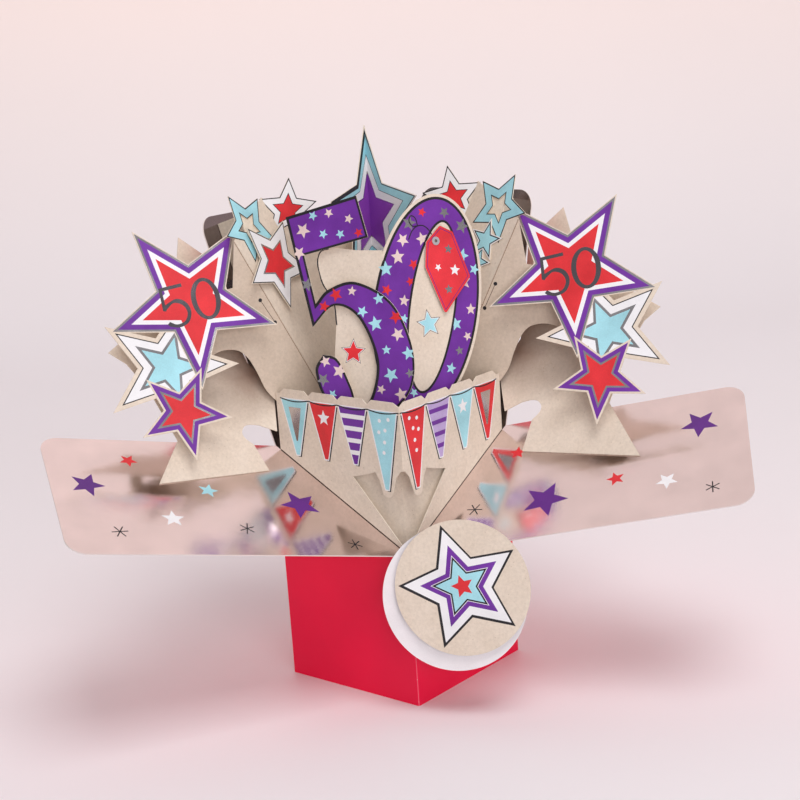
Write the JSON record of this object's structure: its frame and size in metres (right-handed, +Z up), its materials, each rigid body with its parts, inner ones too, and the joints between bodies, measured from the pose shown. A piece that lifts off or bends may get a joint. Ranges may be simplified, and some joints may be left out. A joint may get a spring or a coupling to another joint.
{
  "type": "pop-up card",
  "caption": "Greeting card that pops up out of a square red sleeve: sloping foil flaps fold open round folded card stars, large numerals, a bunting band and a round medallion.",
  "frame": {"origin": "centre of the sleeve's square underside, on the table", "axes": "+Z up; -Y towards the reader, through the sleeve's front corner; +X to the reader's right along the open front flaps"},
  "size_m": [0.2603, 0.1528, 0.2114],
  "materials": {
    "kraft_card": "matte",
    "red_foil_card": "satin",
    "white_card": "matte",
    "printed_card": "satin",
    "printed_white_card": "satin",
    "tag_card": "satin",
    "blue_card": "satin",
    "eyelet_metal": "polished",
    "foam": "matte"
  },
  "bodies": {
    "root": {"base_floor": "white_card", "centre_star": "kraft_card", "five_foam_lower": "foam", "five_foam_upper": "foam", "front_banner": "kraft_card", "gift_tag": "tag_card", "inner_bowl": "kraft_card", "left_back_strut": "kraft_card", "left_bridge": "kraft_card", "left_star_cluster": "kraft_card", "left_star_hanger": "kraft_card", "medallion": "kraft_card", "medallion_backing": "white_card", "medallion_foam": "foam", "medallion_hinge": "kraft_card", "numeral_five": "printed_card", "numeral_panel": "kraft_card", "outer_sleeve": "red_foil_card", "right_back_strut": "kraft_card", "right_bridge": "kraft_card", "right_star_cluster": "kraft_card", "right_star_hanger": "kraft_card", "side_star": "printed_white_card", "side_star_foam": "foam", "star_pair": "blue_card", "tag_eyelet": "eyelet_metal", "tag_foam_pad": "foam"}
  },
  "joints": []
}
